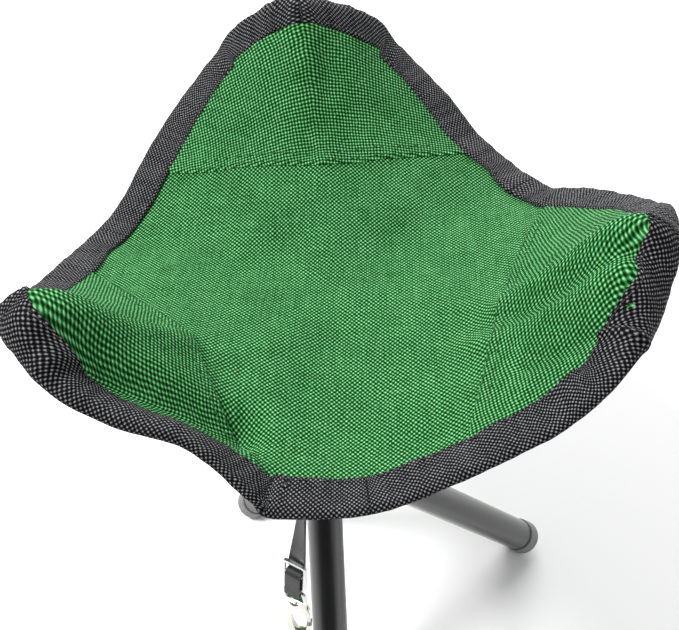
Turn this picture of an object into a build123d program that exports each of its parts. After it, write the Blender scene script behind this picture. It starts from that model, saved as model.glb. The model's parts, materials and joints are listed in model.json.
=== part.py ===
"""Three leg folding stool: three crossed tubes on a moulded hub, and a sling seat on the leg tops.

The hub's axis is vertical. Each leg passes the hub beside that axis, and turns on a pin that runs
along a tangent of the hub. Sizes are in millimetres, and the floor is at Z = 0.
"""

import os
from math import atan2, cos, degrees, hypot, radians, sin, tan

from build123d import *

# legs
SPLAY = 36.0  # each leg's lean from the vertical when the stool is open
TUBE_RADIUS = 11.0
TUBE_WALL = 1.2
LEG_OFFSET = 20.5  # from the hub's axis to each leg's centre line
LEG_ABOVE = 260.0  # pivot to the tube's top end
LEG_BELOW = 190.0  # pivot to the tube's lower end
HUB_HEIGHT = 169.5  # pivots above the floor
HUB_CENTRE = (-4.0, -6.9, 0.0)  # the hub's axis, seen from the middle of the outline
LEG_NAMES = {"front": 90.0, "right": 210.0, "left": 330.0}  # foot: azimuth of the leg's top
CORNER_OF_LEG = {"front": "rear", "right": "left", "left": "right"}  # seat corner on that leg
CORNER_AZIMUTHS = {"rear": 90.0, "left": 210.0, "right": 330.0}

# feet and top plugs
FOOT_RADIUS = 12.0
FOOT_HEAD = 13.0
FOOT_GAP = 0.8  # dark line between the tube's mouth and the head
STEM_LENGTH = 22.0
PLUG_HEAD = 4.0

# hub
HUB_RADIUS = 44.0
HUB_THICKNESS = 22.0
SLOT_CLEARANCE = 0.6
PIN_RADIUS = 3.0
PIN_CLEARANCE = 0.05
PIN_INNER = 5.0
PIN_HEAD_RADIUS = 5.0
PIN_HEAD_LENGTH = 3.0
PIN_HEAD_DEPTH = 4.0
PIN_HEAD_CLEARANCE = 0.4
SOCKET_RADIUS = 2.3  # hexagonal, in the pin's head
SOCKET_DEPTH = 1.8
HUB_EDGE = 2.5

# seat cloth, in a corner's own axes: x outward, y along the edge, z up from the tube tops' height
CLOTH = 1.2
PATCH = 1.0
LAYER_GAP = 0.4
SEAM_GAP = 0.5  # between pieces that fold against each other
BINDING_WIDTH = 20.0
BINDING_THICKNESS = 3.2
SEAT_CENTRE = (0, 0, -76)
CREASE_AT = [0.0, 0.2, 0.42, 0.63, 0.84, 0.89, 0.95, 1.0]
CORNER_TIP = [(143, 0, 10), (150, 0, 12.5), (159, 0, 9), (167, 0, 1)]
REAR_TIP = [(139, 0, 4), (147, 0, 10), (151, 0, 11), (156, 0, 8)]
CREASES = {
    "rear": [SEAT_CENTRE, (38, 0, -69), (83, 0, -53), (113, 0, -25), *REAR_TIP],
    "left": [SEAT_CENTRE, (38, 0, -70), (83, 0, -57), (113, 0, -27), *CORNER_TIP],
    "right": [SEAT_CENTRE, (38, 0, -72), (83, 0, -61), (113, 0, -29), *CORNER_TIP],
}
HEM_AT = [0.0, 0.2, 0.38, 0.62, 0.82, 0.93, 1.0]
HEM_TIP = (167, 9, 0)
REAR_HEM_TIP = (157, 9, 6)
EDGE_MIDDLES = {"rear": (152, -80), "left": (149, -67), "right": (141, -78)}  # corner before the edge
CORNER_BEFORE = {"rear": "right", "left": "rear", "right": "left"}
HEMS = {  # from the edge's middle to the corner's tip
    ("rear", "ccw"): [(98, 116, -75), (116, 104, -65), (143, 82, -48), (161, 53, -26), (164, 33, -7)],
    ("rear", "cw"): [(94, 112, -81), (112, 97, -72), (138, 79, -54), (158, 56, -33), (163, 36, -11)],
    ("left", "ccw"): [(108, 106, -66), (114, 98, -58), (127, 72, -38), (151, 48, -20), (165, 27, -8)],
    ("left", "cw"): [(93, 121, -77), (108, 105, -67), (134, 79, -52), (152, 50, -29), (162, 27, -8)],
    ("right", "ccw"): [(82, 117, -78), (96, 108, -67), (124, 90, -50), (150, 62, -31), (159, 36, -12)],
    ("right", "cw"): [(91, 115, -68), (117, 97, -54), (144, 78, -36), (162, 57, -17), (166, 28, -14)],
}
PATCH_FROM = 0.44  # where the corner patch starts along the crease
POCKET_FROM = 195.0  # along the leg, from its pivot
POCKET_TO = 258.0

# strap and snap hook, hung from the front hem
STRAP_TOP = (-9.5, -147.0, 312.0)
SLIDER_CENTRE = (-18.0, -148.5, 265.0)
STRAP_TOP_YAW = -75.0
CHAIN_YAW = -26.0  # the slider's and the loop's width runs this way in plan
STRAP_WIDTH = 9.0
STRAP_THICKNESS = 1.2
SLIDER_HEIGHT = 22.0
SLIDER_WIDTH = 12.5
SLIDER_LEAN = 8.0
WIRE = 1.5
BAR_RADIUS = 0.9
BAR_AT = 2.0  # above the slider's middle
BAR_PLAY = 0.2
LOOP_BAND = 7.5
LOOP_THICKNESS = 1.0
LOOP_INSIDE = 1.6  # radius
LOOP_DROP = 15.0  # slider's middle to the eye's top bar
EYE_HEIGHT = 9.0
POST_RADIUS = 1.5
POST_HEAD_RADIUS = 2.1
COLLAR_RADIUS = 3.2
COLLAR_HEIGHT = 4.0
HOOK_HALF_WIDTH = 6.0
HOOK_HALF_HEIGHT = 14.5
HOOK_RIM = 2.6
HOOK_THICKNESS = 4.2
MOUTH = 9.0  # height of the hook's open side
GATE_THICKNESS = 1.8
GATE_WIDTH = 2.2
GATE_LENGTH = 12.2
GATE_AT = (4.2, 2.2)
GATE_SLOT_AT = 5.4
GATE_SLOT_HEIGHT = 7.8
GATE_PIN_RADIUS = 0.6
GATE_PIN_AT = (4.0, 6.8)

os.makedirs("parts", exist_ok=True)
nodes = []


def save(piece, name):
    """Label a finished piece and write it, moved so that the outline's centre is the origin."""
    solid = Pos(*HUB_CENTRE) * piece.part
    solid.label = name
    export_step(solid, f"parts/{name}.step")
    nodes.append(name)


TOP_X = LEG_ABOVE * sin(radians(SPLAY))
TOP_Z = HUB_HEIGHT + LEG_ABOVE * cos(radians(SPLAY))
TWIST = degrees(atan2(LEG_OFFSET, TOP_X))  # the seat's corners lie this far round from the legs


def leg_plane(azimuth):
    """A leg's own axes at its pivot: Z up the tube, X outward across it, Y along the pin."""
    about = radians(azimuth)
    pivot = (-LEG_OFFSET * sin(about), LEG_OFFSET * cos(about), HUB_HEIGHT)
    lean = radians(SPLAY)
    up = (sin(lean) * cos(about), sin(lean) * sin(about), cos(lean))
    across = (cos(lean) * cos(about), cos(lean) * sin(about), -sin(lean))
    return Plane(origin=pivot, x_dir=across, z_dir=up)


def flat_leg_plane(azimuth):
    """Upright axes at a leg's pivot: X outward, Y along the pin, Z up."""
    about = radians(azimuth)
    pivot = (-LEG_OFFSET * sin(about), LEG_OFFSET * cos(about), HUB_HEIGHT)
    return Plane(origin=pivot, x_dir=(cos(about), sin(about), 0), z_dir=(0, 0, 1))


# legs, feet and top plugs ------------------------------------------------------------------------
bore_radius = TUBE_RADIUS - TUBE_WALL
for foot, azimuth in LEG_NAMES.items():
    plane = leg_plane(azimuth)

    with BuildPart() as leg_tube:
        with BuildSketch(plane.offset(-LEG_BELOW)):
            Circle(TUBE_RADIUS)
            Circle(bore_radius, mode=Mode.SUBTRACT)
        extrude(amount=LEG_BELOW + LEG_ABOVE)
        with BuildSketch(Plane(origin=plane.origin, x_dir=plane.x_dir, z_dir=plane.y_dir)):
            Circle(PIN_RADIUS + PIN_CLEARANCE)
        extrude(amount=TUBE_RADIUS + 1, both=True, mode=Mode.SUBTRACT)
    save(leg_tube, f"{foot}_leg_tube")

    with BuildPart() as foot_cap:
        with BuildSketch(Plane(origin=plane.origin, x_dir=plane.x_dir, z_dir=plane.y_dir)):
            with BuildLine():
                top = LEG_BELOW - STEM_LENGTH
                neck = LEG_BELOW + FOOT_GAP
                Polyline(
                    (0, top),
                    (bore_radius - 1, top),
                    (bore_radius, top + 2),
                    (bore_radius, neck),
                    (FOOT_RADIUS - 1, neck),
                )
                RadiusArc((FOOT_RADIUS - 1, neck), (FOOT_RADIUS, neck + 1), -1)
                end = neck + FOOT_HEAD
                Line((FOOT_RADIUS, neck + 1), (FOOT_RADIUS, end - 4))
                RadiusArc((FOOT_RADIUS, end - 4), (FOOT_RADIUS - 4, end), -4)
                Polyline((FOOT_RADIUS - 4, end), (0, end), (0, top))
            make_face()
        revolve(axis=Axis(plane.origin, plane.z_dir))
        split(bisect_by=Plane.XY, keep=Keep.TOP)
    save(foot_cap, f"{foot}_foot")

    with BuildPart() as top_plug:
        with BuildSketch(Plane(origin=plane.origin, x_dir=plane.x_dir, z_dir=plane.y_dir)):
            with BuildLine():
                low = -(LEG_ABOVE - STEM_LENGTH)
                rim = -LEG_ABOVE
                end = rim - PLUG_HEAD
                Polyline((0, low), (bore_radius - 1, low), (bore_radius, low - 2), (bore_radius, rim))
                Polyline((bore_radius, rim), (TUBE_RADIUS, rim), (TUBE_RADIUS, rim - 1))
                RadiusArc((TUBE_RADIUS, rim - 1), (TUBE_RADIUS - 3, end), 3)
                Polyline((TUBE_RADIUS - 3, end), (0, end), (0, low))
            make_face()
        revolve(axis=Axis(plane.origin, plane.z_dir))
    save(top_plug, f"{foot}_leg_plug")

# hub and pivot pins ------------------------------------------------------------------------------
half = HUB_THICKNESS / 2
slot_half_width = TUBE_RADIUS + 0.5
upright = TUBE_RADIUS + SLOT_CLEARANCE
leaning = TUBE_RADIUS / cos(radians(SPLAY)) + SLOT_CLEARANCE / 2
rise = half + 1
reach = rise * tan(radians(SPLAY)) + leaning
waist = (leaning - upright) / tan(radians(SPLAY))

with BuildPart() as hub:
    with BuildSketch(Plane.XY.offset(HUB_HEIGHT - half)):
        Circle(HUB_RADIUS)
    extrude(amount=HUB_THICKNESS)
    fillet(hub.edges().filter_by(GeomType.CIRCLE), radius=HUB_EDGE)
    for azimuth in LEG_NAMES.values():
        upright_plane = flat_leg_plane(azimuth)
        slot_plane = Plane(
            origin=upright_plane.origin, x_dir=upright_plane.x_dir, z_dir=-upright_plane.y_dir
        )
        with BuildSketch(slot_plane):
            with BuildLine():
                Polyline(
                    (reach, rise),
                    (-upright, rise),
                    (-upright, waist),
                    (-reach, -rise),
                    (upright, -rise),
                    (upright, -waist),
                    close=True,
                )
            make_face()
        extrude(amount=slot_half_width, both=True, mode=Mode.SUBTRACT)
        pin_plane = Plane(
            origin=(0, 0, HUB_HEIGHT), x_dir=upright_plane.x_dir, z_dir=upright_plane.y_dir
        )
        with BuildSketch(pin_plane.offset(PIN_INNER)):
            Circle(PIN_RADIUS)
        extrude(amount=HUB_RADIUS, mode=Mode.SUBTRACT)
        with BuildSketch(pin_plane.offset(HUB_RADIUS - PIN_HEAD_DEPTH)):
            Circle(PIN_HEAD_RADIUS + PIN_HEAD_CLEARANCE)
        extrude(amount=PIN_HEAD_DEPTH + 1, mode=Mode.SUBTRACT)
save(hub, "hub")

with BuildPart() as pivot_pins:
    for azimuth in LEG_NAMES.values():
        about = radians(azimuth)
        tangent = (-sin(about), cos(about), 0)
        pin_plane = Plane(origin=(0, 0, HUB_HEIGHT), x_dir=(0, 0, 1), z_dir=tangent)
        with BuildSketch(pin_plane.offset(PIN_INNER)):
            Circle(PIN_RADIUS)
        shank = HUB_RADIUS - PIN_HEAD_DEPTH - PIN_INNER
        extrude(amount=shank)
        with BuildSketch(pin_plane.offset(PIN_INNER + shank)):
            Circle(PIN_HEAD_RADIUS)
        extrude(amount=PIN_HEAD_LENGTH)
        with BuildSketch(pin_plane.offset(PIN_INNER + shank + PIN_HEAD_LENGTH)):
            RegularPolygon(SOCKET_RADIUS, 6)
        extrude(amount=-SOCKET_DEPTH, mode=Mode.SUBTRACT)
save(pivot_pins, "pivot_pins")


# seat --------------------------------------------------------------------------------------------
def along(points, places, at):
    """The point at a place along a chain of straight pieces."""
    for start, end, a, b in zip(places, places[1:], points, points[1:]):
        if at <= end:
            share = (at - start) / (end - start)
            return tuple(p + (q - p) * share for p, q in zip(a, b))
    return points[-1]


def hem_line(corner, half_name):
    """A half's hem, from the middle of the seat's edge to the tip of the corner."""
    before = corner if half_name == "ccw" else CORNER_BEFORE[corner]
    reach, height = EDGE_MIDDLES[before]
    tip = REAR_HEM_TIP if corner == "rear" else HEM_TIP
    middle = (reach * cos(radians(60)), reach * sin(radians(60)), height)
    return [middle, *HEMS[corner, half_name], tip]


def row_ends(corner, half_name, at):
    """A row's ends on the crease and on the hem."""
    return along(CREASES[corner], CREASE_AT, at), along(hem_line(corner, half_name), HEM_AT, at)


def bow(at):
    """How far a row's middle stands off a straight line: under it in the hollow, over it on a corner."""
    return BOW_CENTRE + (BOW_CORNER - BOW_CENTRE) * min(1.0, at / BOW_FULL_AT)


def binding_share(corner, half_name, at):
    """How far across a row the binding starts, so that it is as wide all along the hem."""
    crease, hem = row_ends(corner, half_name, at)
    row = hypot(*(h - c for c, h in zip(crease, hem)))
    return max(LEAST_SHARE, 1 - BINDING_WIDTH / row)


def row_face(corner, half_name, at, low, high, thickness, lift, gap):
    """The upright section of a seat layer along one row, from its crease side to its hem side."""
    crease, hem = row_ends(corner, half_name, at)
    side = SIDES[half_name]
    turn = radians(CORNER_AZIMUTHS[corner] + TWIST)
    start = (crease[0], side * gap)
    run = (hem[0] - crease[0], side * (hem[1] - gap))
    length = hypot(*run)
    x_dir = (
        (run[0] * cos(turn) - run[1] * sin(turn)) / length,
        (run[0] * sin(turn) + run[1] * cos(turn)) / length,
        0,
    )
    origin = (
        start[0] * cos(turn) - start[1] * sin(turn),
        start[0] * sin(turn) + start[1] * cos(turn),
        TOP_Z + crease[2] + lift,
    )
    fall = hem[2] - crease[2]
    shares = [low + (high - low) * step / ROW_STEPS for step in range(ROW_STEPS + 1)]
    bulge = 4 * bow(at)
    under = [(length * share, fall * share + bulge * share * (1 - share)) for share in shares]
    over = [(x, z + thickness) for x, z in reversed(under)]
    with BuildSketch(Plane(origin=origin, x_dir=x_dir, z_dir=(x_dir[1], -x_dir[0], 0))) as section:
        with BuildLine():
            Polyline(*under, *over, close=True)
        make_face()
    return section.sketch


ROW_STEPS = 4
BOW_CENTRE = -1.5
BOW_CORNER = 3.4
BOW_FULL_AT = 0.63
LEAST_SHARE = 0.14
SIDES = {"ccw": 1, "cw": -1}
BINDING_LIFT = (CLOTH - BINDING_THICKNESS) / 2
CLOTH_ROWS = [0.004, 0.2, 0.42, 0.63, 0.76, 0.84, 0.89, 0.95, 0.985]
BINDING_ROWS = [0.004, 0.1, 0.2, 0.38, 0.5, 0.62, 0.72, 0.82, 0.89, 0.93, 0.965, 1.0]
PATCH_ROWS = [PATCH_FROM, 0.63, 0.76, 0.84, 0.89, 0.95]
CLOTH_UNDER_BINDING = 0.03  # share of a row left free between the cloth and the binding
PATCH_SHORT_OF_BINDING = 0.10

for foot, azimuth in LEG_NAMES.items():
    corner = CORNER_OF_LEG[foot]
    for half_name in SIDES:
        with BuildPart() as seat_cloth:
            rows = []
            for at in CLOTH_ROWS:
                end = binding_share(corner, half_name, at) - CLOTH_UNDER_BINDING
                rows.append(row_face(corner, half_name, at, 0, end, CLOTH, 0, SEAM_GAP / 2))
            loft(rows, ruled=True)
        save(seat_cloth, f"{corner}_seat_half_{half_name}")

        with BuildPart() as binding:
            rows = []
            for at in BINDING_ROWS:
                start = binding_share(corner, half_name, at)
                size = (BINDING_THICKNESS, BINDING_LIFT, SEAM_GAP / 2)
                rows.append(row_face(corner, half_name, at, start, 1, *size))
            loft(rows, ruled=True)
        save(binding, f"{corner}_binding_{half_name}")

    with BuildPart() as corner_patch:
        for half_name in SIDES:
            rows = []
            for at in PATCH_ROWS:
                end = binding_share(corner, half_name, at) - PATCH_SHORT_OF_BINDING
                rows.append(row_face(corner, half_name, at, 0, end, PATCH, CLOTH + LAYER_GAP, 0))
            loft(rows, ruled=True)
    save(corner_patch, f"{corner}_corner_patch")

    plane = leg_plane(azimuth)
    with BuildPart() as pocket:
        with BuildSketch(plane.offset(POCKET_FROM)):
            Circle(TUBE_RADIUS + LAYER_GAP + CLOTH)
            Circle(TUBE_RADIUS + LAYER_GAP, mode=Mode.SUBTRACT)
            with Locations((-TUBE_RADIUS, 0)):
                Rectangle(2 * TUBE_RADIUS + 4, 4 * TUBE_RADIUS, mode=Mode.SUBTRACT)
        extrude(amount=POCKET_TO - POCKET_FROM)
    save(pocket, f"{corner}_under_pocket")

# strap, slider and snap hook ---------------------------------------------------------------------


def upright_plane_at(origin, yaw, lean=0.0):
    """An upright plane that faces forward: X sideways, turned by yaw in plan, and Y up."""
    turn, tilt = radians(yaw), radians(lean)
    x_dir = (cos(turn) * cos(tilt), sin(turn) * cos(tilt), -sin(tilt))
    return Plane(origin=origin, x_dir=x_dir, z_dir=(sin(turn), -cos(turn), 0))


def point_on(plane, x, y, z=0.0):
    """A point given in a plane's own axes."""
    return plane.from_local_coords(Vector(x, y, z))


slider_plane = upright_plane_at(SLIDER_CENTRE, CHAIN_YAW, SLIDER_LEAN)
loop_radius = LOOP_INSIDE + LOOP_THICKNESS
strap_end = point_on(slider_plane, 0, BAR_AT + loop_radius + 1, -(WIRE + STRAP_THICKNESS) / 2 - 0.3)

with BuildPart() as strap_webbing:
    for end, yaw in ((STRAP_TOP, STRAP_TOP_YAW), (strap_end, CHAIN_YAW)):
        turn = radians(yaw)
        with BuildSketch(Plane(origin=end, x_dir=(cos(turn), sin(turn), 0), z_dir=(0, 0, -1))):
            Rectangle(STRAP_WIDTH, STRAP_THICKNESS)
    loft(ruled=True)
save(strap_webbing, "strap_webbing")

with BuildPart() as slider_frame:
    with BuildSketch(slider_plane.offset(-WIRE / 2)):
        RectangleRounded(SLIDER_WIDTH, SLIDER_HEIGHT, 2.4)
        RectangleRounded(SLIDER_WIDTH - 2 * WIRE, SLIDER_HEIGHT - 2 * WIRE, 1, mode=Mode.SUBTRACT)
    extrude(amount=WIRE)
save(slider_frame, "slider_frame")

bar_length = SLIDER_WIDTH - 2 * WIRE - 2 * BAR_PLAY
bar_plane = Plane(
    origin=point_on(slider_plane, -bar_length / 2, BAR_AT),
    x_dir=slider_plane.y_dir,
    z_dir=slider_plane.x_dir,
)
with BuildPart() as slider_bar:
    with BuildSketch(bar_plane):
        Circle(BAR_RADIUS)
    extrude(amount=bar_length)
save(slider_bar, "slider_bar")

loop_plane = Plane(
    origin=point_on(slider_plane, -LOOP_BAND / 2, (BAR_AT - LOOP_DROP) / 2),
    x_dir=slider_plane.y_dir,
    z_dir=slider_plane.x_dir,
)
with BuildPart() as strap_loop:
    with BuildSketch(loop_plane):
        SlotCenterToCenter(BAR_AT + LOOP_DROP, 2 * loop_radius)
        SlotCenterToCenter(BAR_AT + LOOP_DROP, 2 * LOOP_INSIDE, mode=Mode.SUBTRACT)
    extrude(amount=LOOP_BAND)
save(strap_loop, "strap_loop")

eye_plane = upright_plane_at(point_on(slider_plane, 0, -LOOP_DROP), CHAIN_YAW)
eye_middle = -(EYE_HEIGHT - WIRE) / 2
eye_foot = -(EYE_HEIGHT - WIRE / 2)
collar_top = eye_foot - BAR_PLAY
collar_foot = collar_top - COLLAR_HEIGHT
post_down = Plane(origin=point_on(eye_plane, 0, eye_foot + WIRE / 2), x_dir=(1, 0, 0), z_dir=(0, 0, -1))
with BuildPart() as hook_swivel:
    with BuildSketch(eye_plane.offset(-WIRE / 2)):
        with Locations((0, eye_middle)):
            RectangleRounded(SLIDER_WIDTH, EYE_HEIGHT, 2.4)
            RectangleRounded(SLIDER_WIDTH - 2 * WIRE, EYE_HEIGHT - 2 * WIRE, 1, mode=Mode.SUBTRACT)
    extrude(amount=WIRE)
    post_length = WIRE / 2 + BAR_PLAY + COLLAR_HEIGHT + BAR_PLAY
    with BuildSketch(post_down):
        Circle(POST_RADIUS)
    extrude(amount=post_length)
    with BuildSketch(post_down.offset(post_length)):
        Circle(POST_HEAD_RADIUS)
    extrude(amount=1)
save(hook_swivel, "hook_swivel")

hook_middle = collar_foot + HOOK_RIM - HOOK_HALF_HEIGHT
hook_plane = upright_plane_at(point_on(eye_plane, 0, hook_middle), 0)
collar_plane = Plane(origin=point_on(eye_plane, 0, collar_top), x_dir=(1, 0, 0), z_dir=(0, 0, -1))
with BuildPart() as hook_body:
    with BuildSketch(hook_plane.offset(-HOOK_THICKNESS / 2)):
        Ellipse(HOOK_HALF_WIDTH, HOOK_HALF_HEIGHT)
        Ellipse(HOOK_HALF_WIDTH - HOOK_RIM, HOOK_HALF_HEIGHT - HOOK_RIM, mode=Mode.SUBTRACT)
        with Locations((HOOK_HALF_WIDTH, 0)):
            Rectangle(2 * HOOK_RIM + 3, MOUTH, mode=Mode.SUBTRACT)
    extrude(amount=HOOK_THICKNESS)
    with BuildSketch(collar_plane):
        Circle(COLLAR_RADIUS)
    extrude(amount=COLLAR_HEIGHT)
    with BuildSketch(collar_plane):
        Circle(POST_RADIUS + PIN_CLEARANCE)
    extrude(amount=COLLAR_HEIGHT + HOOK_RIM, mode=Mode.SUBTRACT)
    with BuildSketch(collar_plane.offset(COLLAR_HEIGHT)):
        Circle(POST_HEAD_RADIUS + BAR_PLAY)
    extrude(amount=HOOK_RIM, mode=Mode.SUBTRACT)
    with BuildSketch(hook_plane.offset(-GATE_THICKNESS / 2 - BAR_PLAY)):
        with Locations((HOOK_HALF_WIDTH, GATE_SLOT_AT)):
            Rectangle(2 * HOOK_RIM + GATE_WIDTH, GATE_SLOT_HEIGHT)
    extrude(amount=GATE_THICKNESS + 2 * BAR_PLAY, mode=Mode.SUBTRACT)
    with BuildSketch(hook_plane.offset(-HOOK_THICKNESS)):
        with Locations(GATE_PIN_AT):
            Circle(GATE_PIN_RADIUS)
    extrude(amount=2 * HOOK_THICKNESS, mode=Mode.SUBTRACT)
save(hook_body, "hook_body")

with BuildPart() as hook_gate:
    with BuildSketch(hook_plane.offset(-GATE_THICKNESS / 2)):
        with Locations(GATE_AT):
            RectangleRounded(GATE_WIDTH, GATE_LENGTH, 0.9)
    extrude(amount=GATE_THICKNESS)
    with BuildSketch(hook_plane.offset(-HOOK_THICKNESS)):
        with Locations(GATE_PIN_AT):
            Circle(GATE_PIN_RADIUS + PIN_CLEARANCE)
    extrude(amount=2 * HOOK_THICKNESS, mode=Mode.SUBTRACT)
save(hook_gate, "hook_gate")

with BuildPart() as gate_pin:
    with BuildSketch(hook_plane.offset(-HOOK_THICKNESS / 2)):
        with Locations(GATE_PIN_AT):
            Circle(GATE_PIN_RADIUS)
    extrude(amount=HOOK_THICKNESS)
save(gate_pin, "gate_pin")

print("nodes", len(nodes))
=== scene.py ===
"""Looks of the folding tripod stool: its sling seat, taped edges, painted legs, hub and snap hook.

Shapes are worked out in millimetres, in a corner's own axes: X outward from the hub's axis through
the leg top, Y along the edge, Z up from the leg tops. They are turned into metres at the end.
"""

import json
import math

import bpy
import numpy as np
from mathutils import Matrix, Vector


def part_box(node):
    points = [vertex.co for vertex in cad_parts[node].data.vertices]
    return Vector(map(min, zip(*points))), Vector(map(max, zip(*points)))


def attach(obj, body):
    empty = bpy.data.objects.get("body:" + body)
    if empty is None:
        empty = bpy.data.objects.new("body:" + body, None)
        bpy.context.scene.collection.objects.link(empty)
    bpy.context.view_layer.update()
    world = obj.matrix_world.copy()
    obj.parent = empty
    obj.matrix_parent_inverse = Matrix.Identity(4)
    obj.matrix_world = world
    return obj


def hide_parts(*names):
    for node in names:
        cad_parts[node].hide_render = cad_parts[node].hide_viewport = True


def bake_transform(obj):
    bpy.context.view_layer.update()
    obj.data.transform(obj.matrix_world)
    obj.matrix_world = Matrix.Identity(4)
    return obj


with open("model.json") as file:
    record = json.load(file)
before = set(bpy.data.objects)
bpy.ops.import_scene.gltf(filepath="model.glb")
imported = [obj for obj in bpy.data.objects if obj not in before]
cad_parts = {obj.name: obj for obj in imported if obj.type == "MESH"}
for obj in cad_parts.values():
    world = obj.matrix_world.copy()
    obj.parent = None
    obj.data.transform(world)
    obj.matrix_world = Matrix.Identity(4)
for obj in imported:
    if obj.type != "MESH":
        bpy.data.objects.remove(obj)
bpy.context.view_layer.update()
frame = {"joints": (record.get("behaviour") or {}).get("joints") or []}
MM = 0.001
hub_low, hub_high = (np.array(corner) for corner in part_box("hub"))
HUB = (hub_low + hub_high) / 2 / MM
joints = {joint["name"]: joint for joint in frame["joints"]}
LEG_TOPS = {
    name: np.array(joints[f"{name}_corner_turn"]["pos_m"]) / MM for name in ("rear", "left", "right")
}
FOOT_OF_CORNER = {"rear": "front", "left": "right", "right": "left"}
SIDES = {"ccw": 1, "cw": -1}
HALF_CORNER = math.radians(60)  # round from a corner's crease to the middle of an edge


def ease(share):
    """From 0 to 1, level at both ends."""
    return share**2 * (3 - 2 * share)


# camera ------------------------------------------------------------------------------------------
AZIMUTH, ELEVATION, ROLL = 6.157, 44.593, -6.234  # degrees
DISTANCE = 754.9
LOOKS_AT = (-12.96, 115.79, 0.0)  # from the hub's middle
FRAME_WIDTH = 679
FOCAL = 1095.98  # in frame widths of FRAME_WIDTH
SENSOR = 36.0


def make_camera():
    """The camera stands in front and above, and is a little tilted."""
    azimuth, elevation, roll = (math.radians(angle) for angle in (AZIMUTH, ELEVATION, ROLL))
    back = Vector(
        (
            math.sin(azimuth) * math.cos(elevation),
            -math.cos(azimuth) * math.cos(elevation),
            math.sin(elevation),
        )
    )
    right = Vector((0, 0, 1)).cross(back).normalized()
    up = back.cross(right)
    turned_right = right * math.cos(roll) + up * math.sin(roll)
    turned_up = up * math.cos(roll) - right * math.sin(roll)
    place = (back * DISTANCE + Vector(LOOKS_AT) + Vector(HUB)) * MM
    data = bpy.data.cameras.new("camera")
    data.sensor_width = SENSOR
    data.lens = SENSOR * FOCAL / FRAME_WIDTH
    data.clip_start = 0.01
    camera = bpy.data.objects.new("camera", data)
    bpy.context.scene.collection.objects.link(camera)
    axes = Matrix((turned_right, turned_up, back)).transposed()
    camera.matrix_world = Matrix.Translation(place) @ axes.to_4x4()
    bpy.context.scene.camera = camera


make_camera()


# stage -------------------------------------------------------------------------------------------
FLOOR_SIZE, FLOOR_DROP = 12, 0.0005  # metres; the floor is just below the feet
CARD_PLACE, CARD_SIZE = (0, -1.35, 0.75), (2.3, 1.5)  # a dark card that black paint reflects
WORLD_LIGHT = 0.55
LAMP_AIM = (0, 0, 0.3)
LAMPS = (  # name, place, size in metres, power in watts
    ("key_lamp", (-1.0, -0.3, 1.9), 0.6, 44),
    ("fill_lamp", (1.4, -1.2, 1.3), 1.2, 6),
    ("back_lamp", (0.4, 2.0, 1.5), 2.2, 60),
)


def dress_stage(name, material_name, grey, roughness, specular=0.5):
    """Name the plane that was just added and give it one even grey."""
    piece = bpy.context.object
    piece.name = name
    material = bpy.data.materials.new(material_name)
    material.use_nodes = True
    shader = material.node_tree.nodes["Principled BSDF"]
    shader.inputs["Base Color"].default_value = (grey, grey, grey, 1)
    shader.inputs["Roughness"].default_value = roughness
    shader.inputs["Specular IOR Level"].default_value = specular
    piece.data.materials.append(material)
    return piece


def make_stage():
    """A plain pale floor, and soft light from above and the sides."""
    bpy.ops.mesh.primitive_plane_add(size=FLOOR_SIZE, location=(0, 0, -FLOOR_DROP))
    dress_stage("floor", "floor_white", 0.92, 0.9, 0.1)
    bpy.ops.mesh.primitive_plane_add(size=1, location=CARD_PLACE, rotation=(math.pi / 2, 0, 0))
    card = dress_stage("dark_card", "card_black", 0.01, 1.0)
    card.scale = (*CARD_SIZE, 1)
    card.visible_camera = False
    card.visible_shadow = False
    world = bpy.data.worlds.new("world")
    bpy.context.scene.world = world
    world.use_nodes = True
    world.node_tree.nodes["Background"].inputs["Color"].default_value = (1, 1, 1, 1)
    world.node_tree.nodes["Background"].inputs["Strength"].default_value = WORLD_LIGHT
    for name, place, size, power in LAMPS:
        data = bpy.data.lights.new(name, "AREA")
        data.shape = "DISK"
        data.size = size
        data.energy = power
        lamp = bpy.data.objects.new(name, data)
        lamp.location = place
        aim = Vector(LAMP_AIM) - Vector(place)
        lamp.rotation_euler = aim.to_track_quat("-Z", "Y").to_euler()
        bpy.context.scene.collection.objects.link(lamp)


make_stage()
bpy.context.scene.view_settings.view_transform = "Standard"


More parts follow.
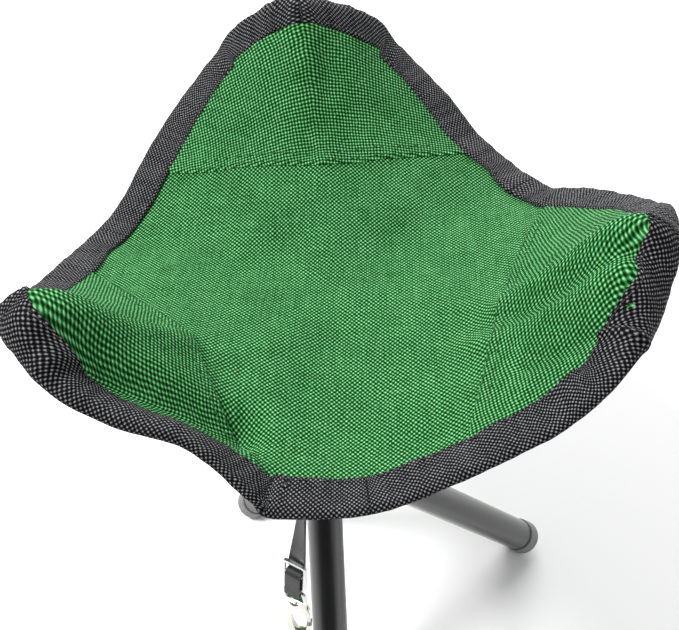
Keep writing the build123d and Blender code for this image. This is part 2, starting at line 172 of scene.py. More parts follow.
# node materials ----------------------------------------------------------------------------------
class Nodes:
    """Short names for building one material's nodes."""

    def __init__(self, name):
        self.material = bpy.data.materials.new(name)
        self.material.use_nodes = True
        self.tree = self.material.node_tree
        self.shader = self.tree.nodes["Principled BSDF"]

    def add(self, kind, **inputs):
        node = self.tree.nodes.new(kind)
        for name, value in inputs.items():
            self.put(node, name.replace("_", " "), value)
        return node

    def put(self, node, name, value):
        """Link or set an input, given by its name or its number."""
        socket = node.inputs[name]
        if isinstance(value, bpy.types.NodeSocket):
            self.tree.links.new(value, socket)
        else:
            socket.default_value = value

    def math(self, operation, *values):
        node = self.tree.nodes.new("ShaderNodeMath")
        node.operation = operation
        for index, value in enumerate(values):
            self.put(node, index, value)
        return node.outputs[0]

    def ramp(self, factor, stops):
        node = self.tree.nodes.new("ShaderNodeValToRGB")
        ramp = node.color_ramp
        while len(ramp.elements) < len(stops):
            ramp.elements.new(0.5)
        for element, (at, colour) in zip(ramp.elements, stops):
            element.position = at
            element.color = (*colour, 1)
        self.tree.links.new(factor, node.inputs["Fac"])
        return node.outputs["Color"]

    def stretched(self, vector, factors):
        node = self.tree.nodes.new("ShaderNodeVectorMath")
        node.operation = "MULTIPLY"
        self.tree.links.new(vector, node.inputs[0])
        node.inputs[1].default_value = factors
        return node.outputs[0]

    def noise(self, vector, scale, detail=2.0, roughness=0.5):
        noise = {"Vector": vector, "Scale": scale, "Detail": detail, "Roughness": roughness}
        return self.add("ShaderNodeTexNoise", **noise).outputs["Fac"]

    def place(self):
        """Where a point is, in millimetres."""
        coordinate = self.add("ShaderNodeTexCoord").outputs["Object"]
        scaled = self.tree.nodes.new("ShaderNodeVectorMath")
        scaled.operation = "SCALE"
        self.tree.links.new(coordinate, scaled.inputs[0])
        scaled.inputs["Scale"].default_value = 1 / MM
        return scaled.outputs[0]

    def bump(self, height, strength, distance):
        node = self.add("ShaderNodeBump", Height=height, Strength=strength, Distance=distance)
        self.tree.links.new(node.outputs[0], self.shader.inputs["Normal"])

    def set(self, **values):
        for name, value in values.items():
            self.put(self.shader, name.replace("_", " "), value)


THREAD_WANDER = 1.6  # how far the threads stray from straight, in millimetres
CROSSING, FIBRE, STREAK, PATCHY = 0.62, 0.42, 0.18, 0.10  # what each adds to the weave's height
WEAVE_LEVEL = 0.315  # taken off the height, to bring its middle to the ramp's
STREAK_LONG, STREAK_SHORT = 0.05, 0.75  # how often a thread's own streaks change along and across it
# stops of the weave's colour ramp: dark is painted shade in the low gaps between threads, bright a painted
# highlight on the raised crossings
DARK_AT, MIDDLE_AT, BRIGHT_AT = 0.26, 0.50, 0.76


def woven(name, dark, middle, bright, across, roughness):
    """Cloth: crossing threads, from the mesh's flat coordinates in millimetres."""
    cloth = Nodes(name)
    flat = cloth.add("ShaderNodeUVMap")
    flat.uv_map = "flat"
    wobble = cloth.add("ShaderNodeTexNoise", Vector=flat.outputs[0], Scale=0.11, Detail=2.0)
    shifted = cloth.tree.nodes.new("ShaderNodeVectorMath")
    shifted.operation = "MULTIPLY_ADD"
    cloth.tree.links.new(wobble.outputs["Color"], shifted.inputs[0])
    shifted.inputs[1].default_value = (THREAD_WANDER, THREAD_WANDER, 0)
    cloth.tree.links.new(flat.outputs[0], shifted.inputs[2])
    parts = cloth.add("ShaderNodeSeparateXYZ", Vector=shifted.outputs[0])
    turn = 2 * math.pi / across
    warp = cloth.math("SINE", cloth.math("MULTIPLY", parts.outputs["X"], turn))
    weft = cloth.math("SINE", cloth.math("MULTIPLY", parts.outputs["Y"], turn))
    crossing = cloth.math("MULTIPLY_ADD", cloth.math("MULTIPLY", warp, weft), 0.5, 0.5)
    fibre = cloth.noise(flat.outputs[0], 1.1, 2.0, 0.7)
    along = cloth.noise(cloth.stretched(flat.outputs[0], (STREAK_LONG, STREAK_SHORT, 1)), 1.0, 2.0, 0.6)
    over = cloth.noise(cloth.stretched(flat.outputs[0], (STREAK_SHORT, STREAK_LONG, 1)), 1.0, 2.0, 0.6)
    patchy = cloth.noise(flat.outputs[0], 0.035, 3.0, 0.6)
    mixed = cloth.math("MULTIPLY_ADD", fibre, FIBRE, cloth.math("MULTIPLY", crossing, CROSSING))
    mixed = cloth.math("MULTIPLY_ADD", along, STREAK, mixed)
    mixed = cloth.math("MULTIPLY_ADD", over, STREAK, mixed)
    mixed = cloth.math("MULTIPLY_ADD", patchy, PATCHY, cloth.math("SUBTRACT", mixed, WEAVE_LEVEL))
    # painted shade and highlight: the colour follows the weave's height, dark in the low gaps and bright on
    # the raised crossings; the fibre, streak and patch noise in it add the cloth's own uneven tone
    colour = cloth.ramp(mixed, [(DARK_AT, dark), (MIDDLE_AT, middle), (BRIGHT_AT, bright)])
    cloth.set(Base_Color=colour, Roughness=roughness, Specular_IOR_Level=0.06)
    cloth.bump(mixed, 1.0, 0.0006)
    return cloth.material


def plain(name, dark, bright, roughness, metallic=0.0, grain=0.5, bump=0.15, coat=0.0):
    """Moulded or plated stuff: slight mottling in colour and roughness, and a fine surface grain."""
    stuff = Nodes(name)
    place = stuff.place()
    mottle = stuff.noise(place, 0.06, 4.0, 0.6)
    stuff.set(Base_Color=stuff.ramp(mottle, [(0.3, dark), (0.7, bright)]), Metallic=metallic)
    fine = stuff.noise(place, grain, 3.0, 0.6)
    rough = stuff.add("ShaderNodeMapRange", Value=fine)
    rough.inputs["To Min"].default_value = roughness * 0.8
    rough.inputs["To Max"].default_value = roughness * 1.25
    stuff.set(Roughness=rough.outputs[0], Coat_Weight=coat, Coat_Roughness=0.2)
    stuff.bump(fine, bump, 0.0003)
    return stuff.material


# the dark colours are painted shade for the weave's gaps and the bright ones painted highlights on its
# crossings, grey on the black tape
GREEN = woven(
    "green_cloth", (0.0, 0.014, 0.0), (0.020, 0.150, 0.034), (0.24, 0.62, 0.28), 2.45, roughness=0.75
)
BLACK_TAPE = woven(
    "black_tape", (0.0, 0.0, 0.0), (0.016, 0.016, 0.018), (0.27, 0.27, 0.28), 2.3, roughness=0.65
)
PAINT = plain(
    "black_paint", (0.004, 0.004, 0.0045), (0.008, 0.008, 0.009), 0.30, grain=0.35, bump=0.03, coat=0.7
)
FOOT_PLASTIC = plain(
    "grey_foot_plastic", (0.11, 0.11, 0.115), (0.17, 0.17, 0.175), 0.36, grain=1.4, bump=0.12
)
HUB_PLASTIC = plain("dark_hub_plastic", (0.020, 0.020, 0.022), (0.035, 0.035, 0.038), 0.40, grain=1.1)
STEEL = plain(
    "plated_steel", (0.55, 0.55, 0.56), (0.72, 0.72, 0.73), 0.25, metallic=1.0, grain=2.0, bump=0.05
)
HOOK_METAL = plain(
    "nickel_plate", (0.60, 0.58, 0.52), (0.80, 0.78, 0.72), 0.28, metallic=1.0, grain=1.5, bump=0.06
)
STRAP = plain("ribbed_strap", (0.006, 0.006, 0.006), (0.022, 0.022, 0.023), 0.55, grain=1.2, bump=0.6)
BLACK_THREAD = plain("black_thread", (0.015, 0.015, 0.016), (0.04, 0.04, 0.042), 0.6, grain=3.0)
# painted shade: the patch stitches' green is darker than the cloth, so their rows read as the shaded line
# along the patch's edge
SHADED_GREEN_THREAD = plain("green_thread_seam_shade", (0.003, 0.045, 0.008), (0.012, 0.10, 0.022), 0.6, grain=3.0)


# seat surface ------------------------------------------------------------------------------------
CREASE_AT = (0.0, 0.2, 0.42, 0.63, 0.84, 0.89, 0.95, 1.0)
CENTRE = (0, 0, -76)
REAR_RISE = ((139, 0, 3), (146, 0, 9), (150, 0, 10), (154, 0, 8))
TIP_RISE = ((143, 0, 9), (150, 0, 12), (159, 0, 9), (167, 0, 2))
CREASES = {
    "rear": (CENTRE, (38, 0, -69), (83, 0, -53), (113, 0, -25), *REAR_RISE),
    "left": (CENTRE, (38, 0, -70), (83, 0, -57), (113, 0, -27), *TIP_RISE),
    "right": (CENTRE, (38, 0, -72), (83, 0, -61), (113, 0, -29), *TIP_RISE),
}
HEM_AT = (0.0, 0.2, 0.38, 0.62, 0.82, 0.93, 1.0)
EDGE_MIDDLES = {"rear": (152, -80), "left": (149, -67), "right": (141, -78)}  # the corner before the edge
CORNER_BEFORE = {"rear": "right", "left": "rear", "right": "left"}
TIP, REAR_TIP = (167, 0, 1), (154, 0, 7)
HEMS = {  # from the edge's middle to the corner's tip
    ("rear", "ccw"): (
        (98, 116, -75), (116, 104, -65), (143, 82, -48), (160, 53, -25), (162, 32, -5), REAR_TIP,
    ),
    ("rear", "cw"): (
        (94, 112, -81), (112, 97, -72), (138, 79, -54), (157, 56, -32), (161, 36, -9), REAR_TIP,
    ),
    ("left", "ccw"): (
        (108, 104, -68), (113, 97, -60), (126, 71, -39), (151, 47, -21), (164, 26, -9), TIP,
    ),
    ("left", "cw"): (
        (93, 121, -77), (108, 105, -67), (134, 79, -52), (152, 49, -29), (160, 27, -9), TIP,
    ),
    ("right", "ccw"): (
        (82, 117, -78), (96, 108, -67), (124, 90, -50), (150, 62, -31), (158, 36, -12), TIP,
    ),
    ("right", "cw"): (
        (91, 115, -68), (117, 97, -54), (144, 78, -36), (162, 57, -16), (166, 27, -15), TIP,
    ),
}
DRAPE = 1.25  # how late a row falls away from the crease
RIM = 4.5  # how late a row near the centre rises to the hem
CENTRE_REACH = 0.5  # how much of the crease counts as near the centre
CREASE_ROUND = 5.0  # the cloth turns smoothly over this much beside the crease
HEIGHT_ROUNDS = 26  # halvings of the search for a place's row
RIPPLES = (  # direction in degrees, wavelength, height, phase
    (12, 47, 0.35, 0.4), (75, 61, 0.4, 1.9), (131, 39, 0.3, 4.0), (160, 83, 0.5, 2.2), (40, 29, 0.15, 5.1),
)
FOLD_FADE = 45.0  # folds die away over this much beside a neighbouring corner
FOLDS = {  # from, to, width, height
    "rear": (
        ((90, 2), (124, -10), 5, -3.0),
        ((92, 22), (136, 20), 8, 2.0),
        ((92, -34), (134, -24), 8, 2.0),
        ((128, 12), (146, 16), 4, -1.6),
        ((30, 50), (70, 30), 9, 1.2),
        ((20, -30), (60, -60), 9, -1.2),
    ),
    "left": (
        ((96, 6), (158, 10), 5, 4.0),
        ((104, -16), (150, -18), 8, -3.5),
        ((100, 57), (142, 28), 9, -17.0),
        ((70, 40), (96, 76), 9, 1.5),
        ((30, 20), (72, 10), 8, 1.2),
    ),
    "right": (
        ((92, -4), (158, -6), 4.5, 3.5),
        ((88, -26), (150, -24), 5, 3.5),
        ((98, 14), (152, 16), 8, -3.5),
        ((118, -46), (154, -42), 4.5, -4.0),
        ((104, -15), (150, -15), 5, -2.5),
        ((30, -20), (76, -34), 9, 1.2),
    ),
}


def smooth(places, points, at, start=None):
    """A cubic through the points, with even tangents; start replaces the first tangent."""
    places, points = np.array(places, float), np.array(points, float)
    steps = np.diff(places)
    slopes = np.diff(points, axis=0) / steps[:, None]
    tangents = np.empty_like(points)
    before, after = steps[:-1, None], steps[1:, None]
    tangents[1:-1] = (slopes[:-1] * after + slopes[1:] * before) / (before + after)
    tangents[0] = slopes[0] if start is None else start(slopes[0])
    tangents[-1] = 2 * slopes[-1] - tangents[-2]
    at = np.asarray(at, float)
    index = np.clip(np.searchsorted(places, at, side="right") - 1, 0, len(steps) - 1)
    step = steps[index]
    share = (at - places[index]) / step
    share, step = share[..., None], step[..., None]
    return (
        points[index] * (1 + 2 * share) * (1 - share) ** 2
        + points[index + 1] * share**2 * (3 - 2 * share)
        + tangents[index] * step * share * (1 - share) ** 2
        + tangents[index + 1] * step * share**2 * (share - 1)
    )


def along_edge(slope):
    """The hem leaves the middle of an edge square to the line from the centre, and level."""
    edge = np.array((math.sin(HALF_CORNER), -math.cos(HALF_CORNER), 0.0))
    return edge * (slope @ edge)


def level(slope):
    """The crease leaves the seat's centre nearly level."""
    return slope * np.array((1.0, 1.0, 0.15))


class Half:
    """One half of a corner of the seat, from the crease to the hem."""

    def __init__(self, corner, half):
        self.corner, self.half, self.side = corner, half, SIDES[half]
        reach, height = EDGE_MIDDLES[corner if half == "ccw" else CORNER_BEFORE[corner]]
        middle = (reach * math.cos(HALF_CORNER), reach * math.sin(HALF_CORNER), height)
        self.hem_points = np.array((middle, *HEMS[corner, half]), float)
        self.crease_points = np.array(CREASES[corner], float)
        top = LEG_TOPS[corner]
        out = top[:2] - HUB[:2]
        out = out / np.hypot(*out)
        self.axes = np.array(((out[0], out[1], 0), (-out[1], out[0], 0), (0, 0, 1)))
        self.origin = np.array((HUB[0], HUB[1], top[2]))
        self.table_at = np.linspace(0, 1, 401)
        self.table_crease = smooth(CREASE_AT, self.crease_points, self.table_at, level)
        self.table_hem = smooth(HEM_AT, self.hem_points, self.table_at, along_edge)

    def lookup(self, table, at):
        """The point of the crease's or the hem's table at a share of its length."""
        return np.stack([np.interp(at, self.table_at, table[:, k]) for k in range(3)], -1)

    def height(self, x, y):
        """The surface's height at a place in plan, found from the row that the place lies on."""
        low, high = np.zeros_like(x), np.ones_like(x)
        for _ in range(HEIGHT_ROUNDS):
            at = (low + high) / 2
            crease, hem = self.lookup(self.table_crease, at), self.lookup(self.table_hem, at)
            run = hem - crease
            beyond = run[..., 0] * (y - crease[..., 1]) - run[..., 1] * (x - crease[..., 0]) < 0
            low, high = np.where(beyond, at, low), np.where(beyond, high, at)
        share = np.clip(y / np.maximum(hem[..., 1], 1e-3), 0, 1.2)
        near_centre = np.clip(1 - at / CENTRE_REACH, 0, 1)
        drape = DRAPE + (RIM - DRAPE) * ease(near_centre)
        z = crease[..., 2] + (hem[..., 2] - crease[..., 2]) * share**drape
        return z + self.folds(x, y)

    def folds(self, x, y):
        """The height that the soft ridges, hollows and ripples add."""
        total = np.zeros_like(x)
        for start, end, width, rise in FOLDS[self.corner]:
            start, end = np.array(start, float), np.array(end, float)
            run = end - start
            length = np.hypot(*run)
            signed_y = y * self.side
            forward = ((x - start[0]) * run[0] + (signed_y - start[1]) * run[1]) / length
            sideways = ((signed_y - start[1]) * run[0] - (x - start[0]) * run[1]) / length
            past = np.maximum(np.maximum(-forward, forward - length), 0)
            total += rise * np.exp(-(sideways**2 + past**2) / (2 * width**2))
        inside = np.clip((math.tan(HALF_CORNER) * x - y) / FOLD_FADE, 0, 1)
        return total * ease(inside) + ripple(self.world_plan(x, y))

    def world_plan(self, x, y):
        """A place in plan, turned into the frame's axes."""
        flat = np.stack([x, y * self.side, np.zeros_like(x)], -1)
        return (flat @ self.axes)[..., :2]

    def point(self, x, y):
        """A point of the surface in the frame's millimetres."""
        local = np.stack([x, y * self.side, self.height(x, y)], -1)
        return local @ self.axes + self.origin

    def normal(self, x, y):
        """The surface's upward normal."""
        reach = 0.4
        inner = np.maximum(y, reach)
        by_x = (self.height(x + reach, inner) - self.height(x - reach, inner)) / (2 * reach)
        by_y = (self.height(x, inner + reach) - self.height(x, inner - reach)) / (2 * reach)
        by_y = by_y * np.clip(y / CREASE_ROUND, 0, 1)
        local = np.stack([-by_x, -by_y * self.side, np.ones_like(x)], -1)
        local /= np.linalg.norm(local, axis=-1, keepdims=True)
        return local @ self.axes


def ripple(plan):
    """Faint waves in the cloth, the same on both sides of every join."""
    total = np.zeros(plan.shape[:-1])
    for angle, length, rise, phase in RIPPLES:
        turn = math.radians(angle)
        run = plan[..., 0] * math.cos(turn) + plan[..., 1] * math.sin(turn)
        total += rise * np.sin(2 * math.pi * run / length + phase)
    return total


# mesh making -------------------------------------------------------------------------------------
def grid_faces(rows, columns, first=0, closed=False):
    """Four-sided faces over a grid of points; closed joins the last column to the first."""
    faces = []
    for row in range(rows - 1):
        for column in range(columns if closed else columns - 1):
            beside = (column + 1) % columns
            a, b = first + row * columns + column, first + row * columns + beside
            faces.append((a, b, b + columns, a + columns))
    return faces


def make_mesh(name, points, faces, material, normals=None, flat=None):
    """An object from points in millimetres, with its material and flat coordinates."""
    mesh = bpy.data.meshes.new(name)
    mesh.from_pydata([tuple(point) for point in np.asarray(points) * MM], [], faces)
    mesh.validate()
    if flat is not None:
        layer = mesh.uv_layers.new(name="flat")
        flat = np.asarray(flat, float)
        for loop in mesh.loops:
            layer.data[loop.index].uv = flat[loop.vertex_index]
    mesh.polygons.foreach_set("use_smooth", [True] * len(mesh.polygons))
    if normals is not None:
        mesh.normals_split_custom_set_from_vertices([tuple(normal) for normal in normals])
    mesh.materials.append(material)
    piece = bpy.data.objects.new(name, mesh)
    bpy.context.scene.collection.objects.link(piece)
    return piece


def flat_lengths(points, plan):
    """Flat coordinates of a grid: half way from the plan to each column's length along the cloth."""
    steps = np.linalg.norm(np.diff(points, axis=0), axis=-1)
    runs = np.diff(plan, axis=0)
    size = np.maximum(np.linalg.norm(runs, axis=-1), 1e-9)
    moves = runs / size[..., None] * steps[..., None]
    return (np.concatenate([plan[:1], plan[:1] + np.cumsum(moves, axis=0)]) + plan) / 2


def thin_sheet(name, top, normal, flat, thickness, material):
    """A closed sheet: the given top face, a lower one, and walls round the rim."""
    rows, columns = top.shape[:2]
    count = rows * columns
    points = np.concatenate([top.reshape(-1, 3), (top - normal * thickness).reshape(-1, 3)])
    normals = np.concatenate([normal.reshape(-1, 3), -normal.reshape(-1, 3)])
    upper = grid_faces(rows, columns)
    lower = [tuple(reversed([index + count for index in face])) for face in grid_faces(rows, columns)]
    rim = [column for column in range(columns)]
    rim += [row * columns + columns - 1 for row in range(1, rows)]
    rim += [(rows - 1) * columns + column for column in range(columns - 2, -1, -1)]
    rim += [row * columns for row in range(rows - 2, 0, -1)]
    walls = [(b, a, a + count, b + count) for a, b in zip(rim, rim[1:] + rim[:1])]
    faces = upper + lower + walls
    a, b, c = (points[index] for index in upper[0][:3])
    if np.dot(np.cross(b - a, c - b), normals[0]) < 0:
        faces = [tuple(reversed(face)) for face in faces]
    double = np.concatenate([flat.reshape(-1, 2)] * 2)
    return make_mesh(name, points, faces, material, normals, double)


def body_names(corner, half):
    return f"{corner}_corner", f"{corner}_seat_{half}"


def blend_off_crease(piece):
    """Bake the piece's place into its mesh."""
    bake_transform(piece)


# seat cloth --------------------------------------------------------------------------------------
CLOTH_THICKNESS = 0.8
ROWS, COLUMNS = 72, 44
CLOTH_END, CLOTH_SIDE = 0.985, 0.97  # it stops under the tape, as shares of the crease and a row


def half_grid(part, rows, shares):
    """Plan coordinates over a grid of rows and shares of each row."""
    rows = rows if rows.ndim == 2 else rows[:, None] + 0 * shares[None]
    crease = part.lookup(part.table_crease, rows)
    run = part.lookup(part.table_hem, rows) - crease
    return crease[..., 0] + run[..., 0] * shares, crease[..., 1] + run[..., 1] * shares


def make_seat_half(part):
    rows = np.linspace(0, CLOTH_END, ROWS)
    shares = np.linspace(0, CLOTH_SIDE, COLUMNS)
    x, y = half_grid(part, rows, shares)
    points, normal = part.point(x, y), part.normal(x, y)
    plan = part.world_plan(x, y)
    flat = flat_lengths(points, plan)
    name = f"{part.corner}_seat_cloth_{part.half}"
    top = points + normal * CLOTH_THICKNESS / 2
    piece = thin_sheet(name, top, normal, flat, CLOTH_THICKNESS, GREEN)
    blend_off_crease(piece)
    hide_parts(f"{part.corner}_seat_half_{part.half}")
    return piece


# bindings ----------------------------------------------------------------------------------------
TAPE_SECTION = (  # inward from the hem, and out from the cloth's middle
    (20.0, 0.2), (20.3, 1.9), (19.8, 2.6), (18.8, 2.85), (17.9, 2.55), (17.0, 2.8), (13.0, 2.9), (9.0, 2.9),
    (5.0, 2.8), (2.0, 2.6), (0.3, 2.0), (-0.8, 1.0), (-1.1, 0.0), (-0.8, -1.0), (0.3, -1.7), (2.0, -1.9),
    (5.0, -1.8), (9.0, -1.7), (13.0, -1.6), (17.0, -1.4), (17.9, -1.2), (18.8, -1.3), (19.8, -1.1),
    (20.2, -0.8), (20.0, -0.3),
)
TAPE_PLEATS = {  # from the corner's tip along the hem, half width, and rise as a share of the thickness
    ("rear", "ccw"): ((12, 2.5, 0.7), (20, 2.0, 0.5)),
    ("rear", "cw"): ((30, 3.0, 0.5),),
    ("right", "cw"): ((52, 2.5, 0.8),),
    ("left", "cw"): ((9, 3.0, 0.5),),
    ("left", "ccw"): ((26, 3.5, 0.6),),
}
PUCKERS = ((3.1, 0.12, 0), (1.3, 0.08, 1))  # length over one radian, share of the thickness, phase
TANGENT_REACH = 0.004  # of the hem's length, to each side
HEM_END = 0.0005  # nearer than this to an end, the hem's tangent is set
STRIP_STEPS = 24


def hem_strip(part, at, insets):
    """Plan places at distances from the hem, measured along the cloth and square to the hem."""
    hem = part.lookup(part.table_hem, at)
    ahead = part.lookup(part.table_hem, np.minimum(at + TANGENT_REACH, 1))
    behind = part.lookup(part.table_hem, np.maximum(at - TANGENT_REACH, 0))
    tangent = (ahead - behind)[:, :2]
    tangent[at >= 1 - HEM_END] = (0, -1)
    tangent[at <= HEM_END] = (math.sin(HALF_CORNER), -math.cos(HALF_CORNER))
    tangent /= np.linalg.norm(tangent, axis=1, keepdims=True)
    inward = np.stack([tangent[:, 1], -tangent[:, 0]], -1)
    x, y = hem[:, 0].copy(), hem[:, 1].copy()
    reach = max(insets) / STRIP_STEPS
    path = [np.stack([x, y], -1)]
    z = part.height(x, np.abs(y))
    for _ in range(STRIP_STEPS):
        slope = part.height(x + inward[:, 0], np.abs(y + inward[:, 1])) - z
        step = reach / np.sqrt(1 + slope**2)
        x, y = x + inward[:, 0] * step, np.maximum(y + inward[:, 1] * step, 0)
        z = part.height(x, y)
        path.append(np.stack([x, y], -1))
    path = np.stack(path)
    places = []
    for inset in insets:
        index = min(max(inset, 0) / reach, STRIP_STEPS - 1e-6)
        low = int(index)
        spot = path[low] + (path[low + 1] - path[low]) * (index - low)
        if inset < 0:
            spot = spot + inward * inset
        places.append(spot)
    return np.stack(places, 1)


def make_binding(part):
    at = np.concatenate([np.linspace(0, 0.8, 70), np.linspace(0.81, 1, 40)])
    insets = [inset for inset, _ in TAPE_SECTION]
    rises = np.array([rise for _, rise in TAPE_SECTION])
    spots = hem_strip(part, at, insets)
    x, y = spots[..., 0], np.maximum(spots[..., 1], 0)
    points, normal = part.point(x, y), part.normal(x, y)
    hem = part.lookup(part.table_hem, at)
    hem_line = part.point(hem[:, 0], hem[:, 1])
    length = np.concatenate([[0], np.cumsum(np.linalg.norm(np.diff(hem_line, axis=0), axis=1))])
    pucker = 1 + sum(share * np.sin(length / reach + phase) for reach, share, phase in PUCKERS)
    for place, width, rise in TAPE_PLEATS.get((part.corner, part.half), ()):
        pucker += rise * np.exp(-(((length[-1] - length - place) / width) ** 2))
    top = points + normal * rises[None, :, None] * pucker[:, None, None]
    count = len(TAPE_SECTION)
    faces = grid_faces(len(at), count, closed=True)
    last = (len(at) - 1) * count
    faces.append(tuple(reversed(range(count))))
    faces.append(tuple(last + index for index in range(count)))
    round_trip = np.cumsum([0.0] + [math.dist(a, b) for a, b in zip(TAPE_SECTION, TAPE_SECTION[1:])])
    flat = np.stack(np.broadcast_arrays(length[:, None], round_trip[None]), -1).reshape(-1, 2)
    if part.side > 0:
        faces = [tuple(reversed(face)) for face in faces]
    name = f"{part.corner}_edge_tape_{part.half}"
    piece = make_mesh(name, top.reshape(-1, 3), faces, BLACK_TAPE, flat=flat)
    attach(piece, body_names(part.corner, part.half)[1])
    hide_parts(f"{part.corner}_binding_{part.half}")
    return piece


# corner patches ----------------------------------------------------------------------------------
PATCH_EDGES = {  # where the patch starts on the crease, how far that falls at the hem, and how late
    ("rear", "ccw"): (0.405, 0.07, 1),
    ("rear", "cw"): (0.405, 0.11, 1),
    ("left", "ccw"): (0.43, 0.16, 3),
    ("left", "cw"): (0.43, 0.08, 1),
    ("right", "ccw"): (0.455, 0.15, 1),
    ("right", "cw"): (0.455, 0.13, 1),
}
PATCH_END = 0.90
PATCH_UNDER_TAPE = 16.0  # from the hem to the patch's own edge under the tape
PATCH_THICKNESS = 1.4
PATCH_LIFT = 0.3
PATCH_TOP = CLOTH_THICKNESS / 2 + PATCH_LIFT + PATCH_THICKNESS
PATCH_SIDE = 0.965  # share of its room across a row
PATCH_GRAIN = ((0.8, 0.6), (-0.6, 0.8))  # its weave runs aslant
PATCH_STITCH_ROWS = (0.022, 0.075)  # beyond the patch's edge, as shares of its length


def patch_places(part, beyond, shares):
    """Plan places on a corner, at distances beyond the patch's edge as shares of its length."""
    start, fall, late = PATCH_EDGES[part.corner, part.half]
    edge = start - fall * shares**late
    rows = edge[None] + (PATCH_END - edge[None]) * beyond[:, None]
    crease = part.lookup(part.table_crease, rows[:, -1])
    hem = part.lookup(part.table_hem, rows[:, -1])
    room = 1 - PATCH_UNDER_TAPE / np.linalg.norm(hem - crease, axis=-1)
    return half_grid(part, rows, shares[None] * room[:, None])


def make_patch_half(part):
    beyond = np.concatenate([np.linspace(0, 0.035, 6), np.linspace(0.05, 1, 52)])
    shares = np.linspace(0, PATCH_SIDE, COLUMNS)
    x, y = patch_places(part, beyond, shares)
    points, normal = part.point(x, y), part.normal(x, y)
    flat = flat_lengths(points, part.world_plan(x, y)) @ np.array(PATCH_GRAIN)
    edge = np.clip(beyond / 0.02, 0, 1)
    rise = CLOTH_THICKNESS / 2 + PATCH_LIFT + PATCH_THICKNESS * (0.2 + 0.8 * np.sqrt(edge))
    top = points + normal * rise[:, None, None]
    name = f"{part.corner}_patch_{part.half}"
    piece = thin_sheet(name, top, normal, flat, PATCH_THICKNESS * 0.8, GREEN)
    blend_off_crease(piece)
    if part.half == "ccw":
        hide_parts(f"{part.corner}_corner_patch")
    return piece


# stitches ----------------------------------------------------------------------------------------
STITCH_LENGTH = 2.6
STITCH_STEP = 3.6
STITCH_RADIUS = 0.32
STITCH_STOPS = (0.0, 0.15, 0.5, 0.85, 1.0)  # along a stitch, as shares of its length
STITCH_THICK = (0.3, 1, 1, 1, 0.3)  # shares of its radius at those stops
STITCH_RISE = (-0.35, 0.05, 0.25, 0.05, -0.35)
STITCH_SIDES = 6
TAPE_STITCH_INSET, TAPE_STITCH_LIFT = 18.0, 2.65
OFF_CREASE = 0.3  # how near the crease a stitch may come


def stitch_row(part, x, y, lift):
    """Stitches along a line of plan places: slim rounded bars that dip into the cloth at each end."""
    line = part.point(x, y)
    run = np.concatenate([[0], np.cumsum(np.linalg.norm(np.diff(line, axis=0), axis=1))])
    points, faces = [], []
    for start in np.arange(STITCH_STEP / 2, run[-1] - STITCH_STEP, STITCH_STEP):
        stops = start + STITCH_LENGTH * np.array(STITCH_STOPS)
        sx, sy = np.interp(stops, run, x), np.interp(stops, run, y)
        middle, up = part.point(sx, sy), part.normal(sx, sy)
        ahead = middle[-1] - middle[0]
        ahead /= np.linalg.norm(ahead)
        first = len(points)
        for place, normal, thick, rise in zip(middle, up, STITCH_THICK, STITCH_RISE):
            aside = np.cross(ahead, normal)
            for turn in np.arange(STITCH_SIDES) * 2 * math.pi / STITCH_SIDES:
                offset = aside * math.cos(turn) + normal * math.sin(turn)
                points.append(place + normal * (lift + rise) + offset * STITCH_RADIUS * thick)
        last = first + (len(STITCH_STOPS) - 1) * STITCH_SIDES
        faces += grid_faces(len(STITCH_STOPS), STITCH_SIDES, first, closed=True)
        faces.append(tuple(first + index for index in reversed(range(STITCH_SIDES))))
        faces.append(tuple(last + index for index in range(STITCH_SIDES)))
    return points, faces


def make_stitches(part):
    """One row along the tape's inner edge, and two across the corner above the patch's edge."""
    at = np.linspace(0.01, 0.985, 160)
    spots = hem_strip(part, at, [TAPE_STITCH_INSET])[:, 0]
    tape_rows = [(spots[:, 0], np.maximum(spots[:, 1], OFF_CREASE), TAPE_STITCH_LIFT)]
    patch_rows = []
    for inset in PATCH_STITCH_ROWS:
        x, y = patch_places(part, np.array([inset]), np.linspace(0.01, 0.80, 90))
        patch_rows.append((x[0], y[0], PATCH_TOP))
    for kind, rows, material, slot in (
        ("tape", tape_rows, BLACK_THREAD, "binding_tape"),
        ("patch", patch_rows, SHADED_GREEN_THREAD, "seat_cloth"),
    ):
        points, faces = [], []
        for x, y, lift in rows:
            more_points, more_faces = stitch_row(part, x, y, lift)
            faces += [tuple(index + len(points) for index in face) for face in more_faces]
            points += more_points
        piece = make_mesh(f"{part.corner}_{kind}_stitches_{part.half}", points, faces, material)
        if kind == "tape":
            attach(piece, body_names(part.corner, part.half)[1])
        else:
            blend_off_crease(piece)


# pockets under the leg tops ----------------------------------------------------------------------
POCKET_REACH = (192.0, 259.0)  # along the leg from its pivot
POCKET_RADIUS = 12.4
POCKET_WALL = 0.8
POCKET_CAP = 6.5  # how far the closed end stands beyond the open length
CAP_TURNS = np.radians([20, 40, 60, 75, 89])
POCKET_TURN = 100  # degrees, to each side
POCKET_ROWS, POCKET_COLUMNS = 40, 41
POCKET_FLARE = 1.2  # how far its edges stand off
POCKET_WAVES = ((0.45, 4.7, 0), (0.3, 2.1, 1))  # height, length over one radian, phase


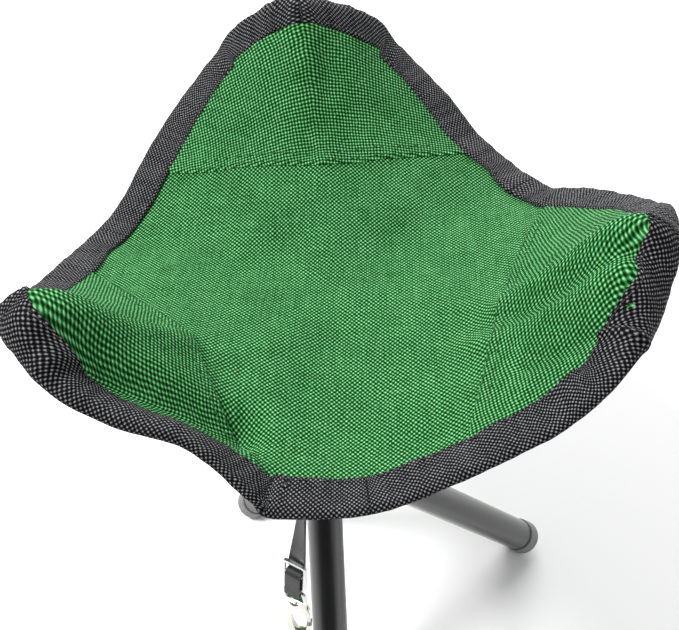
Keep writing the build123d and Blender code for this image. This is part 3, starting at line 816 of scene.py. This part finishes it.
def make_pocket(corner):
    """The cloth trough that holds a leg's top end, closed over the end like a hem."""
    foot = FOOT_OF_CORNER[corner]
    hinge = joints["fold" if foot == "front" else f"{foot}_leg_fold"]
    pivot = np.array(hinge["pos_m"]) / MM
    top = LEG_TOPS[corner]
    up = (top - pivot) / np.linalg.norm(top - pivot)
    pin = np.cross((0, 0, 1), up)
    pin /= np.linalg.norm(pin)
    out = np.cross(pin, up)
    stops = np.linspace(*POCKET_REACH, POCKET_ROWS)
    stops = np.concatenate([stops, POCKET_REACH[1] + POCKET_CAP * np.sin(CAP_TURNS)])
    shrink = np.concatenate([np.ones(POCKET_ROWS), np.sqrt(np.cos(CAP_TURNS))])
    turns = np.radians(np.linspace(-POCKET_TURN, POCKET_TURN, POCKET_COLUMNS))
    points = np.empty((len(stops), len(turns), 3))
    for row, stop in enumerate(stops):
        wave = sum(rise * math.sin(stop / reach + phase) for rise, reach, phase in POCKET_WAVES)
        for column, turn in enumerate(turns):
            radius = POCKET_RADIUS + wave * math.cos(turn * 1.7 + stop / 9)
            flare = POCKET_FLARE * (turn / turns[-1]) ** 4
            offset = out * math.cos(turn) + pin * math.sin(turn)
            points[row, column] = pivot + up * stop + offset * (radius + flare) * shrink[row]
    along, across = np.gradient(points, axis=0), np.gradient(points, axis=1)
    normal = np.cross(across, along)
    normal /= np.linalg.norm(normal, axis=-1, keepdims=True)
    if np.dot(normal[POCKET_ROWS // 2, POCKET_COLUMNS // 2], out) < 0:
        normal = -normal
    flat = np.stack(np.meshgrid(stops, turns * POCKET_RADIUS, indexing="ij"), -1)
    piece = thin_sheet(f"{corner}_pocket", points, normal, flat, POCKET_WALL, GREEN)
    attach(piece, f"{foot}_leg")
    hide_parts(f"{corner}_under_pocket")


# the finished CAD parts --------------------------------------------------------------------------
def finish_node(node, material):
    """Give a CAD part its material; its shape and place stay."""
    slots = bpy.data.objects[node].data.materials
    slots.clear()
    slots.append(material)


for foot in FOOT_OF_CORNER.values():
    finish_node(f"{foot}_leg_tube", PAINT)
    finish_node(f"{foot}_foot", FOOT_PLASTIC)
    finish_node(f"{foot}_leg_plug", FOOT_PLASTIC)
finish_node("hub", HUB_PLASTIC)
for node in ("pivot_pins", "slider_frame", "slider_bar", "hook_swivel", "hook_gate", "gate_pin"):
    finish_node(node, STEEL)
finish_node("hook_body", HOOK_METAL)
finish_node("strap_webbing", STRAP)
finish_node("strap_loop", STRAP)

for corner in LEG_TOPS:
    make_pocket(corner)
    for half in SIDES:
        part = Half(corner, half)
        cloth = make_seat_half(part)
        tape = make_binding(part)
        patch = make_patch_half(part)
        make_stitches(part)
